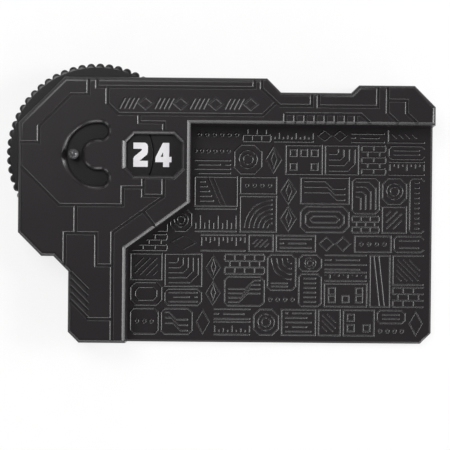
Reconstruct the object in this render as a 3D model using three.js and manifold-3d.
// Damage counter pad: a tray for one sleeved card, with a two-digit dial under its corner cover.
// Millimetres, +Z up. The dial axis is the drawing origin, +X runs along the tray's long side.
// The thumb wheel turns the units, a ball knob in a curved slot turns the tens.
import * as THREE from "three";
import { mergeVertices } from "three/addons/utils/BufferGeometryUtils.js";
import Module from "manifold-3d";

// Tray for a sleeved card laid on its side
const trayLength = 93.3;
const trayWidth = 66.5;
const trayLeft = 9.2; // dial axis to the tray's left wall

// Thumb wheel for the units
const wheelTipRadius = 27.5;
const beadHeight = 0.95;
const beadCount = 60;
const beadShare = 0.66; // how much of the pitch one bead takes
const beadSteps = 4;
const beadPhase = THREE.MathUtils.degToRad(-0.9);
const rimRounding = 0.45;
const wheelThickness = 3.6;
const webRecessDepth = 0.8;
const webRecessInner = 6.5;
const webRecessRim = 8.6; // width of the solid rim outside the web recess
const unitPositions = 10;
const unitNotchWidth = 1.1;
const unitNotchDepth = 0.45;
const unitNotchLength = 2.6;
const clickInset = 5.3; // click notches inside the bead tips

// Disc for the tens
const discRadius = 16.8;
const discThickness = 1.4;
const discEdgeBevel = 0.15;
const tensPositions = 5;
const tensStep = THREE.MathUtils.degToRad(48);
const tensNotchWidth = 0.6;
const tensNotchDepth = 0.2;

// Spindle in the middle of the dial
const spindleRadius = 3.3;
const spindleBore = 2.15;
const coverBossGap = 0.15;
const washerOverhang = 1.0;
const washerThickness = 0.25;
const washerNubLength = 0.8;
const washerNubWidth = 0.5;
const hubRecessDepth = 0.6;
const clampPadHeight = 0.25;

// Running and fitting gaps
const runGap = 0.3; // wheel to deck, wheel to roof
const discLift = 0.2; // disc above the floor of its seat in the wheel
const discGap = 0.3; // disc edge to the wheel around it
const spinGap = 0.1; // bore to spindle
const rimGap = 0.35; // bead tips to the wheel well
const fitGap = 0.25; // deck and spacers inside the cover's walls
const clickGap = 0.1; // click nubs to the face that they ride on

// Stack of the housing
const footProud = 0.6;
const footSunk = 0.4;
const plateThickness = 2.2;
const pocketHeight = 1.8; // the card's corner slides in under the dial
const deckThickness = 1.2;
const roofThickness = 2.0;

// Outline of the cover
const thumbReachLeft = 3.6; // how far the beads stand out at the left edge
const thumbReachTop = 4.05; // and at the top edge
const barHeight = 14.18; // tray's top wall to the top edge
const cornerCut = 13.95;
const lowerCut = 7.15;
const shoulderBelowWheel = 3.5;
const waistCut = 4.55;
const columnWidth = 17.75;
const footCut = 3.3;
const stepSlope = THREE.MathUtils.degToRad(36.2);
const notchDrop = 4.22;
const notchLength = 21.3;
const endStep = 2.35;
const endBlock = 16.9;
const endCut = 6.4;

// Walls and edges of the cover
const coverWall = 1.8;
const trayWall = 1.5;
const rimWall = 0.7; // what is left of the tray wall where the wheel runs closest
const edgeBevel = 0.95;
const bevelHeight = 0.8;
const trayBevel = 0.65;
const trayDraft = 0.35;

// Window over the digits
const windowTensReach = 8.0; // how much of the tens disc it shows
const windowMargin = 3.15; // its right edge to the tray wall's foot
const windowWidth = 12.4;
const windowCornerCut = 2.4;
const windowBevel = 1.0;

// Curved slot for the knob
const slotRadius = 7.15;
const slotHalfWidth = 2.35;
const slotRounding = 0.8;
const slotHalfAngle = THREE.MathUtils.degToRad(97);
const slotSteps = 18;
const slotCapSteps = 6;
const slotRoundingSteps = 2;

// Ball knob on the tens disc
const knobSideGap = 0.7; // ball to the slot's wall
const knobProud = 2.25; // ball top above the roof
const knobPinRadius = 0.8;
const knobNeckRadius = 0.9;
const knobCollarRadius = 1.5;
const knobCollarHeight = 0.6;
const knobPinGap = 0.05;

// Leaf spring that clicks the units
const leafLength = 12;
const leafWidth = 2.4;
const leafThickness = 0.25;
const leafSeatDepth = 0.5;
const leafSeatGap = 0.3;
const leafSteps = 14;

// Screws and their bosses
const screwHeadRadius = 1.9;
const screwHeadHeight = 1.1;
const screwShankRadius = 0.9;
const screwTipLength = 0.8;
const screwTipGap = 0.6;
const screwHoleGap = 0.15;
const screwHeadGap = 0.25;
const screwSeatDepth = 1.3;
const screwRecessDepth = 0.6;
const screwRecessWidth = 0.55;
const screwRecessLength = 2.2;
const bossRadius = 2.2;
const roofUnderScrew = 0.4;

// Ribs, rubber feet and the plate's edge
const pocketRib = 1.2;
const padRadius = 4.0;
const padGap = 0.15;
const padBevel = 0.25;
const padInset = 7.0;
const plateBevel = 0.6;
const plateBevelHeight = 0.6;
const plateUnderBevel = 0.4;
const columnScrewDrop = 8.0; // column screw below the deck's tail screw
const deckTailDrop = 3.9; // deck below the bottom of the wheel well
const deckTailScrew = 3.6;
const deckArm = 6.6; // deck past the tray's corner, into the bar
const deckArmScrew = 2.95;
const deckArmScrewDrop = 6.4;

// Panel grooves and tray relief
const grooveWidth = 0.8;
const grooveFloor = 0.45;
const grooveDepth = 0.35;
const reliefHeight = 0.35;
const ridgeWidth = 0.6;
const ridgeTop = 0.36;
const reliefInset = 0.7; // to the walls
const reliefMargin = 2.6; // to the open edges

// Modelling values
const overrun = 0.5; // how far a cutter passes the face that it cuts
const weld = 0.0001; // vertices closer than this are one
const fullTurn = 2 * Math.PI;
const rimSides = 72;
const roundSides = 28;
const knobSides = 16;
const smallSides = 12;

// Heights from the table up
const plateBottom = footProud;
const plateTop = plateBottom + plateThickness;
const deckBottom = plateTop + pocketHeight;
const deckTop = deckBottom + deckThickness;
const wheelBottom = deckTop + runGap;
const wheelTop = wheelBottom + wheelThickness;
const discBottom = wheelTop - discThickness;
const roofBottom = wheelTop + runGap;
const roofTop = roofBottom + roofThickness;
const padBottom = roofBottom - clampPadHeight;
const spindleTop = padBottom - washerThickness;

// Lines of the outline, from the dial axis
const wheelWell = wheelTipRadius + rimGap;
const clickRadius = wheelTipRadius - clickInset;
const stepRight = wheelWell + rimWall;
const coverLeft = thumbReachLeft - wheelTipRadius;
const coverTop = wheelTipRadius - thumbReachTop;
const trayTop = coverTop - barHeight;
const trayRight = trayLeft + trayLength;
const trayBottom = trayTop - trayWidth;
const columnLeft = trayLeft - columnWidth;
const columnMiddle = (columnLeft + trayLeft) / 2;
const shoulder = -(wheelTipRadius + shoulderBelowWheel);
const notchTop = coverTop - notchDrop;
const barMiddle = (trayTop + notchTop) / 2;
const stepTop = -stepRight * Math.tan((Math.PI / 2 - stepSlope) / 2);
const stepFoot = -(stepRight - trayLeft * Math.sin(stepSlope)) / Math.cos(stepSlope);

const wasm = await Module();
wasm.setup();

// Solids and outlines

function at(x, y) {
  return new THREE.Vector2(x, y);
}

// A closed three.js geometry as a solid that can be joined and cut.
function solid(geometry) {
  const bare = geometry.clone();
  bare.deleteAttribute("normal");
  bare.deleteAttribute("uv");
  const merged = mergeVertices(bare, weld);
  const mesh = new wasm.Mesh({
    numProp: 3,
    vertProperties: new Float32Array(merged.attributes.position.array),
    triVerts: new Uint32Array(merged.index.array),
  });
  return new wasm.Manifold(mesh);
}

// A solid back as a three.js geometry.
function geometryOf(made) {
  const mesh = made.getMesh();
  const geometry = new THREE.BufferGeometry();
  const places = [];
  for (let i = 0; i < mesh.numVert; i++) {
    for (let k = 0; k < 3; k++) {
      places.push(mesh.vertProperties[i * mesh.numProp + k]);
    }
  }
  geometry.setAttribute("position", new THREE.Float32BufferAttribute(places, 3));
  geometry.setIndex([...mesh.triVerts]);
  geometry.computeVertexNormals();
  return geometry;
}

// Outlines with the same number of points, stacked by height and capped.
function loft(rings) {
  const count = rings[0].outline.length;
  const places = [];
  for (const ring of rings) {
    for (const point of ring.outline) {
      places.push(point.x, point.y, ring.height);
    }
  }
  const faces = [];
  for (let level = 0; level + 1 < rings.length; level++) {
    for (let i = 0; i < count; i++) {
      const next = (i + 1) % count;
      const low = level * count;
      const high = low + count;
      faces.push(low + i, low + next, high + next);
      faces.push(low + i, high + next, high + i);
    }
  }
  const last = (rings.length - 1) * count;
  for (const [a, b, c] of THREE.ShapeUtils.triangulateShape(rings[0].outline, [])) {
    faces.push(a, c, b);
  }
  for (const [a, b, c] of THREE.ShapeUtils.triangulateShape(rings[rings.length - 1].outline, [])) {
    faces.push(last + a, last + b, last + c);
  }
  const geometry = new THREE.BufferGeometry();
  geometry.setAttribute("position", new THREE.Float32BufferAttribute(places, 3));
  geometry.setIndex(faces);
  return solid(geometry);
}

function prism(outline, low, high) {
  const shape = new THREE.Shape(outline);
  const settings = { depth: high - low, bevelEnabled: false };
  return solid(new THREE.ExtrudeGeometry(shape, settings).translate(0, 0, low));
}

function rod(x, y, radius, low, high, sides) {
  const cylinder = new THREE.CylinderGeometry(radius, radius, high - low, sides);
  cylinder.rotateX(Math.PI / 2);
  return solid(cylinder.translate(x, y, (low + high) / 2));
}

function block(left, bottom, right, top, low, high) {
  const box = new THREE.BoxGeometry(right - left, top - bottom, high - low);
  return solid(box.translate((left + right) / 2, (bottom + top) / 2, (low + high) / 2));
}

// A profile of [radius, height] pairs turned about +Z.
function turned(profile, sides) {
  const points = profile.map(([radius, height]) => at(radius, height));
  const lathe = new THREE.LatheGeometry(points, sides);
  return solid(lathe.rotateX(Math.PI / 2));
}

// Each edge of a closed outline moved inwards by its own distance.
function inset(outline, distances) {
  const count = outline.length;
  const lines = outline.map((start, i) => {
    const along = outline[(i + 1) % count].clone().sub(start).normalize();
    const inwards = at(-along.y, along.x);
    const from = start.clone().addScaledVector(inwards, distances[i]);
    return { from, along };
  });
  return lines.map((line, i) => {
    const before = lines[(i + count - 1) % count];
    const gap = line.from.clone().sub(before.from);
    const reach = gap.cross(line.along) / before.along.cross(line.along);
    return before.from.clone().addScaledVector(before.along, reach);
  });
}

// The outline of a band that follows a path, with mitred corners and square ends.
function band(path, halfWidth) {
  const left = [];
  const right = [];
  path.forEach((point, i) => {
    const before = path[Math.max(i - 1, 0)];
    const after = path[Math.min(i + 1, path.length - 1)];
    const arriving = point.clone().sub(before).normalize();
    const leaving = after.clone().sub(point).normalize();
    const along = arriving.clone().add(leaving).normalize();
    const straight = i === 0 ? leaving : arriving;
    const side = at(-along.y, along.x);
    const reach = halfWidth / Math.abs(side.dot(at(-straight.y, straight.x)));
    left.push(point.clone().addScaledVector(side, reach));
    right.unshift(point.clone().addScaledVector(side, -reach));
  });
  return [...right.reverse(), ...left.reverse()];
}

function addAll(first, rest) {
  return rest.reduce((sum, piece) => sum.add(piece), first);
}

function cutAll(first, rest) {
  return rest.reduce((left, piece) => left.subtract(piece), first);
}

// The cover's outline at its foot, anticlockwise, starting with the four tray edges.
const trayEdges = 4;

function coverOutline() {
  const endLeft = trayRight - endCut - endBlock;
  const endTop = notchTop + endStep;
  const notchRight = endLeft - endStep;
  const notchLeft = notchRight - notchLength;
  return [
    at(trayLeft, trayBottom),
    at(trayLeft, stepFoot),
    at(stepRight, stepTop),
    at(stepRight, trayTop),
    at(trayRight, trayTop),
    at(trayRight, endTop - endCut),
    at(trayRight - endCut, endTop),
    at(endLeft, endTop),
    at(notchRight, notchTop),
    at(notchLeft, notchTop),
    at(notchLeft - notchDrop, coverTop),
    at(coverLeft + cornerCut, coverTop),
    at(coverLeft, coverTop - cornerCut),
    at(coverLeft, shoulder + lowerCut),
    at(coverLeft + lowerCut, shoulder),
    at(columnLeft - waistCut, shoulder),
    at(columnLeft, shoulder - waistCut),
    at(columnLeft, trayBottom + footCut),
    at(columnLeft + footCut, trayBottom),
  ];
}

function coverInset(trayDistance, outerDistance) {
  const outline = coverOutline();
  return inset(outline, outline.map((point, i) => (i < trayEdges ? trayDistance : outerDistance)));
}

// Where screws and rubber pads sit, as [x, y] from the dial axis

const cornerReach = (wheelWell + bossRadius) / Math.SQRT2;
const barScrewShares = [0.16, 0.5, 0.8];
const barLength = trayRight - stepRight;

const cornerScrew = [-cornerReach, -cornerReach];
const armScrew = [stepRight + deckArmScrew, coverTop - deckArmScrewDrop];
const tailScrew = [columnMiddle, -(wheelWell + deckTailScrew)];
const columnScrew = [columnMiddle, tailScrew[1] - columnScrewDrop];
const barScrews = barScrewShares.map((share) => [stepRight + barLength * share, barMiddle]);
const caseScrews = [cornerScrew, columnScrew, ...barScrews];
const deckScrews = [armScrew, tailScrew];

const pads = [
  [coverLeft + cornerCut - padRadius, coverTop - cornerCut],
  [trayRight - padInset, barMiddle],
  [trayRight - padInset, trayBottom + padInset],
  [trayLeft, trayBottom + padInset],
];

// Panel grooves: points as shares of the wheel radius, of the bar or of the column

function onDial([across, up]) {
  return at(across * wheelTipRadius, up * wheelTipRadius);
}

function onBar([along, up]) {
  return at(stepRight + along * barLength, trayTop + up * (notchTop - trayTop));
}

function onColumn([across, up]) {
  return at(columnLeft + across * columnWidth, trayBottom + up * (shoulder - trayBottom));
}

const cornerPanelShares = [
  [-0.1, 0.82],
  [-0.1, 0.657],
  [-0.293, 0.657],
  [-0.641, 0.308],
  [-0.641, 0.125],
  [-0.845, 0.125],
];
const topPanelDialShares = [
  [-0.005, 0.82],
  [-0.005, 0.743],
];
const topPanelEndShares = [0.256, 1.36];
const longPanelDialShares = [
  [0.11, 0.743],
  [0.11, 0.562],
  [0.232, 0.446],
];
const longPanelBarShares = [
  [0.29, 0.297],
  [0.341, 0.666],
];
const notchPanelShares = [
  [0.286, 1.36],
  [0.286, 1.109],
  [0.36, 0.595],
  [0.491, 0.595],
  [0.491, 0.94],
];
const endPanelShares = [
  [0.519, 0.94],
  [0.519, 0.583],
  [0.762, 0.583],
  [0.762, 1.165],
];
const endTallShares = [
  [0.802, 1.167],
  [0.802, 0.407],
  [0.846, 0.09],
];
const endHookShares = [
  [0.802, 0.781],
  [0.881, 0.781],
  [0.881, 0.397],
  [0.926, 0.08],
];
const louvreRailShares = [
  [0.3827, 0.344],
  [0.694, 0.344],
  [0.735, 0.052],
];
const louvreStartShare = 0.3827;
const louvreStepShare = 0.0413;
const louvreFootShare = 0.083;
const louvreTicks = 8;
const aboveWindowShares = [
  [0.462, 0.444],
  [0.462, 0.356],
  [0.736, 0.356],
  [0.736, 0.27],
];
const belowWindowShares = [
  [0.511, -0.27],
  [0.511, -0.452],
  [0.735, -0.452],
  [0.735, -0.27],
];
const lowerPanelShares = [
  [0.511, -0.361],
  [0.285, -0.361],
  [0.285, -0.561],
  [-0.415, -0.561],
  [-0.838, -0.14],
];
const slantPanelShares = [
  [0.738, -0.458],
  [0.176, -0.861],
];
const slantFootShares = [[0.755, 0.034]];
const slantTickShares = [
  [0.52, -0.632],
  [0.651, -0.8],
];
const linkShares = [
  [-0.231, -0.565],
  [-0.231, -0.871],
];
const waistPanelShares = [
  [-0.349, -1.25],
  [-0.349, -0.871],
  [0, -0.871],
  [0, -1.224],
  [0.176, -1.224],
];
const footPanelShares = [
  [0.334, 0.277],
  [0.755, 0.277],
];
const hatchStartShares = [0.045, 0.816];
const hatchStepShare = 0.081;
const hatchReachShare = 0.293;
const hatchLines = 5;

function louvrePaths() {
  const paths = [louvreRailShares.map(onBar)];
  for (let i = 0; i < louvreTicks; i++) {
    const along = louvreStartShare + i * louvreStepShare;
    paths.push([onBar([along, louvreRailShares[0][1]]), onBar([along, louvreFootShare])]);
  }
  return paths;
}

function hatchPaths() {
  const paths = [];
  const reach = columnWidth * hatchReachShare;
  for (let i = 0; i < hatchLines; i++) {
    const start = onColumn([hatchStartShares[0], hatchStartShares[1] - i * hatchStepShare]);
    paths.push([start, at(start.x + reach, start.y - reach)]);
  }
  return paths;
}

// The long groove under the top edge, from the dial out to the notch.
function topPanelPath() {
  const start = topPanelDialShares.map(onDial);
  const end = onBar(topPanelEndShares);
  return [...start, at(end.x, start[1].y), end];
}

function groovePaths() {
  return [
    cornerPanelShares.map(onDial),
    topPanelPath(),
    [...longPanelDialShares.map(onDial), ...longPanelBarShares.map(onBar)],
    notchPanelShares.map(onBar),
    endPanelShares.map(onBar),
    endTallShares.map(onBar),
    endHookShares.map(onBar),
    aboveWindowShares.map(onDial),
    belowWindowShares.map(onDial),
    lowerPanelShares.map(onDial),
    [...slantPanelShares.map(onDial), ...slantFootShares.map(onColumn)],
    slantTickShares.map(onDial),
    linkShares.map(onDial),
    waistPanelShares.map(onDial),
    footPanelShares.map(onColumn),
    ...louvrePaths(),
    ...hatchPaths(),
  ];
}

function grooveCutter(path) {
  const slope = (grooveWidth - grooveFloor) / grooveDepth;
  return loft([
    { outline: band(path, grooveFloor / 2), height: roofTop - grooveDepth },
    { outline: band(path, (grooveWidth + slope * overrun) / 2), height: roofTop + overrun },
  ]);
}

// Window and slot through the roof

function windowOutline(grow) {
  const left = discRadius - windowTensReach - grow;
  const right = stepRight - windowMargin + grow;
  const half = windowWidth / 2 + grow;
  const cut = windowCornerCut + grow * (2 - Math.SQRT2);
  return [
    at(left + cut, -half),
    at(right - cut, -half),
    at(right, -half + cut),
    at(right, half - cut),
    at(right - cut, half),
    at(left + cut, half),
    at(left, half - cut),
    at(left, -half + cut),
  ];
}

function windowCutter() {
  return loft([
    { outline: windowOutline(0), height: roofBottom - overrun },
    { outline: windowOutline(0), height: roofTop - windowBevel },
    { outline: windowOutline(windowBevel + overrun), height: roofTop + overrun },
  ]);
}

// The slot is a band of an arc about the dial axis, open towards the window, with round ends.
function slotOutline(halfWidth) {
  const points = [];
  const first = Math.PI - slotHalfAngle;
  const sweep = 2 * slotHalfAngle;
  for (let i = 0; i <= slotSteps; i++) {
    const angle = first + (sweep * i) / slotSteps;
    const radius = slotRadius + halfWidth;
    points.push(at(radius * Math.cos(angle), radius * Math.sin(angle)));
  }
  points.push(...slotCap(first + sweep, halfWidth, 0));
  for (let i = slotSteps; i >= 0; i--) {
    const angle = first + (sweep * i) / slotSteps;
    const radius = slotRadius - halfWidth;
    points.push(at(radius * Math.cos(angle), radius * Math.sin(angle)));
  }
  points.push(...slotCap(first, halfWidth, Math.PI));
  return points;
}

function slotCap(angle, halfWidth, turn) {
  const points = [];
  for (let i = 1; i < slotCapSteps; i++) {
    const swing = angle + turn + (Math.PI * i) / slotCapSteps;
    const x = slotRadius * Math.cos(angle) + halfWidth * Math.cos(swing);
    const y = slotRadius * Math.sin(angle) + halfWidth * Math.sin(swing);
    points.push(at(x, y));
  }
  return points;
}

function slotCutter() {
  const rings = [{ outline: slotOutline(slotHalfWidth), height: roofBottom - overrun }];
  for (let i = 0; i <= slotRoundingSteps; i++) {
    const lean = (Math.PI / 2) * (i / slotRoundingSteps);
    const out = slotRounding * (1 - Math.cos(lean));
    const up = roofTop - slotRounding + slotRounding * Math.sin(lean);
    rings.push({ outline: slotOutline(slotHalfWidth + out), height: up });
  }
  rings.push({ outline: slotOutline(slotHalfWidth + slotRounding), height: roofTop + overrun });
  return loft(rings);
}

// Cover: a shell with a beveled roof, skirts down to the plate and bosses for the screws

function coverShell() {
  const outer = loft([
    { outline: coverOutline(), height: plateTop },
    { outline: coverInset(trayDraft, 0), height: roofTop - bevelHeight },
    { outline: coverInset(trayDraft + trayBevel, edgeBevel), height: roofTop },
  ]);
  const cavity = prism(coverInset(trayWall, coverWall), plateTop - overrun, roofBottom);
  const well = rod(0, 0, wheelWell, deckTop, roofBottom, rimSides);
  return cutAll(outer, [cavity, well]);
}

function coverBosses() {
  const bosses = [
    rod(0, 0, spindleRadius, padBottom, roofBottom + overrun, smallSides),
    rod(0, 0, spindleBore - coverBossGap, deckTop + runGap, roofBottom + overrun, smallSides),
  ];
  for (const [x, y] of [columnScrew, ...barScrews]) {
    bosses.push(rod(x, y, bossRadius, plateTop, roofBottom + overrun, smallSides));
  }
  for (const [x, y] of [cornerScrew, ...deckScrews]) {
    bosses.push(rod(x, y, bossRadius, deckTop, roofBottom + overrun, smallSides));
  }
  return bosses;
}

function pilotHoles() {
  const top = roofBottom - screwTipGap + roofUnderScrew;
  const places = [[0, 0], ...caseScrews, ...deckScrews];
  return places.map(([x, y]) => {
    return rod(x, y, screwShankRadius + screwHoleGap / 2, plateTop - overrun, top, smallSides);
  });
}

function cardPocket() {
  const left = trayLeft + fitGap;
  const top = trayTop - fitGap;
  return block(left, trayBottom, trayRight, top, plateTop - overrun, deckBottom);
}

function topCover() {
  const shell = addAll(coverShell(), coverBosses());
  const cutters = [...pilotHoles(), cardPocket(), windowCutter(), slotCutter()];
  return cutAll(shell, [...cutters, ...groovePaths().map(grooveCutter)]);
}

// Deck: the floor under the wheel, with the hollow spindle

function leafSeat() {
  const half = leafLength / 2 + leafSeatGap;
  const side = leafWidth / 2 + leafSeatGap;
  const floor = deckTop - leafSeatDepth;
  return block(-half, -clickRadius - side, half, -clickRadius + side, floor, deckTop + overrun);
}

function dialDeck() {
  const outline = coverInset(trayWall + fitGap, coverWall + fitGap);
  const whole = prism(outline, deckBottom, deckTop);
  const right = stepRight + deckArm;
  const bottom = -(wheelWell + deckTailDrop + bossRadius);
  const limits = block(
    coverLeft, bottom, right, coverTop, deckBottom - overrun, deckTop + overrun,
  );
  const floor = whole.intersect(limits);
  const spindle = rod(0, 0, spindleRadius, deckBottom, spindleTop, roundSides);
  const bore = rod(0, 0, spindleBore, deckTop, spindleTop + overrun, smallSides);
  const holes = [[0, 0], cornerScrew, ...deckScrews].map(([x, y]) => {
    const radius = screwShankRadius + screwHoleGap;
    return rod(x, y, radius, deckBottom - overrun, deckTop + overrun, smallSides);
  });
  return cutAll(floor.add(spindle), [bore, leafSeat(), ...holes]);
}

// Base plate: the tray floor with its relief, pocket ribs, screw seats and pad seats

function plateOutline() {
  const [, , , , , ...outer] = coverOutline();
  return [at(trayRight - footCut, trayBottom), at(trayRight, trayBottom + footCut), ...outer];
}

// The open right and bottom edges are beveled, the ones under the cover stay square.
function plateBody() {
  const outline = plateOutline();
  const last = outline.length - 1;
  const open = outline.map((point, i) => (i < 2 || i === last ? plateBevel : 0));
  const under = outline.map(() => plateUnderBevel);
  return loft([
    { outline: inset(outline, under), height: plateBottom },
    { outline, height: plateBottom + plateUnderBevel },
    { outline, height: plateTop - plateBevelHeight },
    { outline: inset(outline, open), height: plateTop },
  ]);
}

function pocketRibs() {
  const low = plateTop - overrun;
  const wallFoot = coverInset(trayWall, coverWall)[1].y + trayWall * Math.tan(stepSlope);
  const left = trayLeft - pocketRib;
  const top = trayTop + pocketRib;
  return [
    block(left, wallFoot + fitGap, trayLeft, top, low, deckBottom),
    block(left, trayTop, stepRight - trayWall - fitGap, top, low, deckBottom),
  ];
}

function cornerSpacer() {
  const [x, y] = cornerScrew;
  const post = rod(x, y, bossRadius, plateTop - overrun, deckBottom, smallSides);
  const room = coverInset(trayWall + fitGap, coverWall + fitGap);
  return post.intersect(prism(room, plateTop - overrun, deckBottom));
}

function screwSeats() {
  return caseScrews.flatMap(([x, y]) => {
    const hole = screwShankRadius + screwHoleGap;
    const head = screwHeadRadius + screwHeadGap;
    return [
      rod(x, y, hole, plateBottom - overrun, deckBottom + overrun, smallSides),
      rod(x, y, head, plateBottom - overrun, plateBottom + screwSeatDepth, smallSides),
    ];
  });
}

function padSeats() {
  return pads.map(([x, y]) => {
    return rod(x, y, padRadius + padGap, plateBottom - overrun, plateBottom + footSunk, roundSides);
  });
}

// Tray relief: short raised strips in a loose grid of small motifs

const reliefRowShares = [0, 0.13, 0.31, 0.48, 0.66, 0.84, 1];
const reliefColumnShares = [0, 0.08, 0.2, 0.3, 0.42, 0.53, 0.64, 0.76, 0.87, 1];
const cellGap = 1.1;

// Every motif is a few paths, as shares of its cell.
const motifShares = [
  [
    [[0, 0], [0, 1], [0.75, 1], [1, 0.75]],
    [[0.3, 0.28], [0.3, 0.7], [0.7, 0.7]],
    [[0.45, 0], [1, 0], [1, 0.43]],
  ],
  [
    [[0, 1], [1, 1]],
    [[0, 0.64], [0.55, 0.64]],
    [[0, 0.31], [0.8, 0.31]],
    [[0, 0], [1, 0]],
  ],
  [
    [[0, 0], [1, 0]],
    [[0.12, 0.22], [0.12, 1]],
    [[0.5, 0.22], [0.5, 0.78]],
    [[0.88, 0.22], [0.88, 1]],
  ],
  [
    [[0, 1], [0.3, 1], [0.3, 0.58], [0.65, 0.58], [0.65, 0.19], [1, 0.19]],
    [[0.6, 1], [1, 1], [1, 0.53]],
    [[0, 0.61], [0, 0], [0.35, 0]],
  ],
  [
    [[0, 0.5], [0.35, 0.5], [0.65, 0.9], [1, 0.9]],
    [[0, 0.15], [0.4, 0.15], [0.75, 0.54], [1, 0.54]],
    [[0.62, 0.07], [1, 0.07]],
  ],
  [
    [[0.5, 0], [0.5, 1]],
    [[0, 0.92], [0.2, 0.92], [0.2, 0.1], [0, 0.1]],
    [[1, 0.92], [0.8, 0.92], [0.8, 0.1], [1, 0.1]],
  ],
];
const motifRowStride = 4;
const motifColumnStride = 5;

function reliefCell(row, column) {
  const wide = trayLength - reliefInset - reliefMargin;
  const high = trayWidth - reliefInset - reliefMargin;
  const left = trayLeft + reliefInset;
  const bottom = trayBottom + reliefMargin;
  const corner = (across, up) => at(left + wide * across, bottom + high * up);
  const low = corner(reliefColumnShares[column], reliefRowShares[row]);
  const far = corner(reliefColumnShares[column + 1], reliefRowShares[row + 1]);
  const edge = (cellGap + ridgeWidth) / 2;
  return { low: low.addScalar(edge), high: far.addScalar(-edge) };
}

function reliefPaths() {
  const paths = [];
  for (let row = 0; row + 1 < reliefRowShares.length; row++) {
    for (let column = 0; column + 1 < reliefColumnShares.length; column++) {
      const cell = reliefCell(row, column);
      const pick = (row * motifRowStride + column * motifColumnStride) % motifShares.length;
      const flip = (row + column) % 2 === 1;
      for (const path of motifShares[pick]) {
        paths.push(path.map(([across, up]) => {
          const u = flip ? 1 - across : across;
          const x = THREE.MathUtils.lerp(cell.low.x, cell.high.x, u);
          return at(x, THREE.MathUtils.lerp(cell.low.y, cell.high.y, up));
        }));
      }
    }
  }
  return paths;
}

function ridge(path) {
  return loft([
    { outline: band(path, ridgeWidth / 2), height: plateTop - reliefHeight },
    { outline: band(path, ridgeTop / 2), height: plateTop + reliefHeight },
  ]);
}

// The part of the tray floor that shows, short of the walls and the open edges.
function reliefRoom() {
  const outline = [
    at(trayLeft, trayBottom),
    at(trayRight, trayBottom),
    at(trayRight, trayTop),
    at(stepRight, trayTop),
    at(stepRight, stepTop),
    at(trayLeft, stepFoot),
  ];
  const margins = outline.map((point, i) => (i < 2 ? reliefMargin : reliefInset));
  const room = inset(outline, margins);
  return prism(room, plateTop - reliefHeight, plateTop + reliefHeight);
}

function trayRelief() {
  const ridges = reliefPaths().map(ridge);
  return addAll(ridges[0], ridges.slice(1)).intersect(reliefRoom());
}

function basePlate() {
  const body = addAll(plateBody(), [...pocketRibs(), cornerSpacer(), trayRelief()]);
  return cutAll(body, [...screwSeats(), ...padSeats()]);
}

// Units wheel: sixty beads round the rim, a seat for the disc and notches underneath

function beadOutline(shrink) {
  const points = [];
  const pitch = fullTurn / beadCount;
  const root = wheelTipRadius - beadHeight - shrink;
  for (let bead = 0; bead < beadCount; bead++) {
    for (let i = 0; i <= beadSteps; i++) {
      const swing = (Math.PI * i) / beadSteps;
      const angle = beadPhase + pitch * (bead - (beadShare / 2) * Math.cos(swing));
      const radius = root + beadHeight * Math.sin(swing);
      points.push(at(radius * Math.cos(angle), radius * Math.sin(angle)));
    }
  }
  return points;
}

function unitNotches() {
  const notches = [];
  for (let i = 0; i < unitPositions; i++) {
    const wedge = new THREE.CylinderGeometry(unitNotchWidth, unitNotchWidth, unitNotchLength, 4);
    wedge.scale(1, 1, unitNotchDepth / unitNotchWidth);
    wedge.translate(0, clickRadius, wheelBottom);
    wedge.rotateZ((fullTurn * (i + 1 / 2)) / unitPositions - Math.PI / 2);
    notches.push(solid(wedge));
  }
  return notches;
}

function unitsWheel() {
  const body = loft([
    { outline: beadOutline(rimRounding), height: wheelBottom },
    { outline: beadOutline(0), height: wheelBottom + rimRounding },
    { outline: beadOutline(0), height: wheelTop - rimRounding },
    { outline: beadOutline(rimRounding), height: wheelTop },
  ]);
  const seat = discRadius + discGap;
  const webOuter = wheelTipRadius - webRecessRim;
  const webTop = wheelBottom + webRecessDepth;
  const web = turned([
    [webRecessInner, wheelBottom - overrun],
    [webOuter, wheelBottom - overrun],
    [webOuter, webTop],
    [webRecessInner, webTop],
    [webRecessInner, wheelBottom - overrun],
  ], roundSides);
  return cutAll(body, [
    rod(0, 0, seat, discBottom - discLift, wheelTop + overrun, rimSides),
    rod(0, 0, spindleRadius + spinGap, wheelBottom - overrun, wheelTop, roundSides),
    web,
    ...unitNotches(),
  ]);
}

// Tens disc: flush with the wheel, with a hub recess for the click washer

function tensNotches() {
  const notches = [];
  const floor = wheelTop - hubRecessDepth;
  const reach = spindleRadius + washerOverhang + spinGap;
  for (let i = 0; i < tensPositions; i++) {
    const wedge = new THREE.CylinderGeometry(tensNotchWidth, tensNotchWidth, reach, 4);
    wedge.scale(1, 1, tensNotchDepth / tensNotchWidth);
    wedge.translate(0, reach / 2, floor);
    wedge.rotateZ(Math.PI / 2 + tensStep * (i - (tensPositions - 1) / 2));
    notches.push(solid(wedge));
  }
  return notches;
}

function tensDisc() {
  const bore = spindleRadius + spinGap;
  const recess = spindleRadius + washerOverhang + runGap;
  const floor = wheelTop - hubRecessDepth;
  const body = turned([
    [bore, discBottom],
    [discRadius, discBottom],
    [discRadius, wheelTop - discEdgeBevel],
    [discRadius - discEdgeBevel, wheelTop],
    [recess, wheelTop],
    [recess, floor],
    [bore, floor],
    [bore, discBottom],
  ], rimSides);
  const hole = knobPinRadius + knobPinGap;
  const socket = rod(-slotRadius, 0, hole, discBottom - overrun, wheelTop + overrun, smallSides);
  return cutAll(body, [socket, ...tensNotches()]);
}

// Ball knob, turned about its own axis with its collar's foot at height zero

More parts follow.
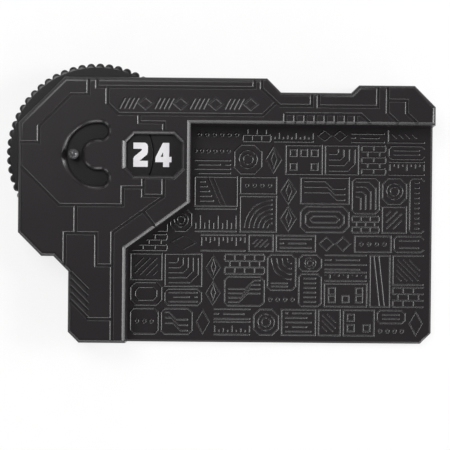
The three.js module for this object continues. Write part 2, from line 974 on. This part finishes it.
function tensKnob() {
  const ball = slotHalfWidth - knobSideGap;
  const centre = roofTop + knobProud - ball - wheelTop;
  const profile = [
    [0, discBottom - wheelTop],
    [knobPinRadius, discBottom - wheelTop],
    [knobPinRadius, 0],
    [knobCollarRadius, 0],
    [knobCollarRadius, knobCollarHeight],
    [knobNeckRadius, knobCollarHeight],
  ];
  const steps = knobSides / 2;
  const first = Math.PI - Math.asin(knobNeckRadius / ball);
  for (let i = 0; i <= steps; i++) {
    const swing = first * (1 - i / steps);
    profile.push([ball * Math.sin(swing), centre + ball * Math.cos(swing)]);
  }
  profile[profile.length - 1][0] = 0;
  return turned(profile, knobSides);
}

// Leaf spring, bowed up from its two ends, along +X with its seat at height zero

function unitsLeaf() {
  const rise = leafSeatDepth + runGap - clickGap - leafThickness;
  const low = [];
  const high = [];
  for (let i = 0; i <= leafSteps; i++) {
    const share = i / leafSteps;
    const x = leafLength * (share - 1 / 2);
    const y = rise * Math.sin(Math.PI * share) ** 2;
    low.push(at(x, y));
    high.unshift(at(x, y + leafThickness));
  }
  const shape = new THREE.Shape([...low, ...high]);
  const strip = new THREE.ExtrudeGeometry(shape, { depth: leafWidth, bevelEnabled: false });
  strip.translate(0, 0, -leafWidth / 2).rotateX(Math.PI / 2);
  return solid(strip);
}

// Spring washer clamped on the spindle, with one nub over the tens notches

function tensWasher() {
  const outer = spindleRadius + washerOverhang;
  const ring = turned([
    [spindleBore, 0],
    [outer, 0],
    [outer, washerThickness],
    [spindleBore, washerThickness],
    [spindleBore, 0],
  ], roundSides);
  const drop = spindleTop - (wheelTop - hubRecessDepth) - clickGap;
  const inner = -outer + washerNubLength;
  const side = washerNubWidth / 2;
  const nub = block(-outer + spinGap, -side, inner, side, -drop, washerThickness / 2);
  return ring.add(nub);
}

// Screw standing on its head, which is at height zero, with a cross recess from below

function screw(length) {
  const bevel = screwHeadHeight - screwRecessDepth;
  const body = turned([
    [0, 0],
    [screwHeadRadius - bevel, 0],
    [screwHeadRadius, bevel],
    [screwHeadRadius, screwHeadHeight],
    [screwShankRadius, screwHeadHeight],
    [screwShankRadius, length - screwTipLength],
    [0, length],
  ], smallSides);
  const reach = screwRecessLength / 2;
  const side = screwRecessWidth / 2;
  return cutAll(body, [
    block(-reach, -side, reach, side, -overrun, screwRecessDepth),
    block(-side, -reach, side, reach, -overrun, screwRecessDepth),
  ]);
}

// Rubber pad standing on the table

function rubberPad() {
  const height = footProud + footSunk;
  return turned([
    [0, 0],
    [padRadius - padBevel, 0],
    [padRadius, padBevel],
    [padRadius, height],
    [0, height],
  ], roundSides);
}

// Assembly

const blackPlastic = { color: 0x333134, roughness: 0.5, metalness: 0 };
const wheelPlastic = { color: 0x2c2b2d, roughness: 0.45, metalness: 0 };
const glossPlastic = { color: 0x1a191b, roughness: 0.12, metalness: 0 };
const springSteel = { color: 0xa9abae, roughness: 0.3, metalness: 1 };
const zincSteel = { color: 0xb4b7ba, roughness: 0.35, metalness: 1 };
const blackRubber = { color: 0x1c1c1c, roughness: 0.9, metalness: 0 };

function piece(name, made, finish) {
  const mesh = new THREE.Mesh(geometryOf(made), new THREE.MeshStandardMaterial(finish));
  mesh.name = name;
  return mesh;
}

function housing() {
  const group = new THREE.Group();
  group.add(piece("top_cover", topCover(), blackPlastic));
  group.add(piece("base_plate", basePlate(), blackPlastic));
  group.add(piece("dial_deck", dialDeck(), blackPlastic));
  return group;
}

function dial() {
  const group = new THREE.Group();
  group.add(piece("units_wheel", unitsWheel(), wheelPlastic));
  group.add(piece("tens_disc", tensDisc(), wheelPlastic));
  const knob = piece("tens_knob", tensKnob(), glossPlastic);
  knob.position.set(-slotRadius, 0, wheelTop);
  const leaf = piece("units_click_spring", unitsLeaf(), springSteel);
  leaf.position.set(0, -clickRadius, deckTop - leafSeatDepth);
  const washer = piece("tens_click_washer", tensWasher(), springSteel);
  washer.position.set(0, 0, spindleTop);
  group.add(knob, leaf, washer);
  return group;
}

function fasteners() {
  const group = new THREE.Group();
  const tip = roofBottom - screwTipGap;
  const caseFoot = plateBottom + screwSeatDepth - screwHeadHeight;
  const deckFoot = deckBottom - screwHeadHeight;
  caseScrews.forEach(([x, y], i) => {
    const mesh = piece("case_screw_" + (i + 1), screw(tip - caseFoot), zincSteel);
    mesh.position.set(x, y, caseFoot);
    group.add(mesh);
  });
  deckScrews.forEach(([x, y], i) => {
    const mesh = piece("deck_screw_" + (i + 1), screw(tip - deckFoot), zincSteel);
    mesh.position.set(x, y, deckFoot);
    group.add(mesh);
  });
  const middle = piece("dial_screw", screw(tip - deckFoot), zincSteel);
  middle.position.set(0, 0, deckFoot);
  group.add(middle);
  return group;
}

function feet() {
  const group = new THREE.Group();
  pads.forEach(([x, y], i) => {
    const mesh = piece("foot_" + (i + 1), rubberPad(), blackRubber);
    mesh.position.set(x, y, 0);
    group.add(mesh);
  });
  return group;
}

const pad = new THREE.Group();
pad.add(housing(), dial(), fasteners(), feet());

// The part's own origin is under the middle of its box.
const middle = new THREE.Box3().setFromObject(pad).getCenter(new THREE.Vector3());
pad.position.set(-middle.x, -middle.y, 0);

export default pad;
